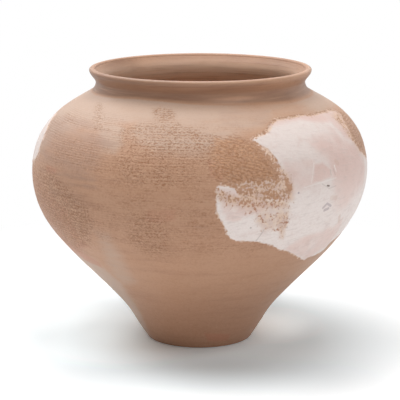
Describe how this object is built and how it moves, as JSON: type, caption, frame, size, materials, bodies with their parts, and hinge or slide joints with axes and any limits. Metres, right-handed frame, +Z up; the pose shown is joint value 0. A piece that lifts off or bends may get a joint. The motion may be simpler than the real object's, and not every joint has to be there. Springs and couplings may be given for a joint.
{
  "type": "terracotta vase",
  "caption": "Wide-mouthed earthenware vase with a full belly on a narrow foot, a short neck with a rolled rim, and plaster fills over a worn side.",
  "frame": {"origin": "centre of the underside, on the surface the vase stands on", "axes": "+Z up along the vase's axis, -Y towards the front, +X towards the side with the large plaster fill"},
  "size_m": [0.32, 0.32, 0.263],
  "materials": {
    "terracotta": "unglazed fired clay, fine throwing lines",
    "pink_plaster": "matte tinted plaster",
    "white_plaster": "matte smoothed plaster"
  },
  "bodies": {
    "root": {"base_disc": "terracotta", "foot_wall": "terracotta", "belly_wall": "terracotta", "shoulder_wall": "terracotta", "neck_and_rim": "terracotta", "pink_plaster_fill": "pink_plaster", "white_plaster_skim": "white_plaster", "left_plaster_patch": "white_plaster"}
  },
  "joints": []
}
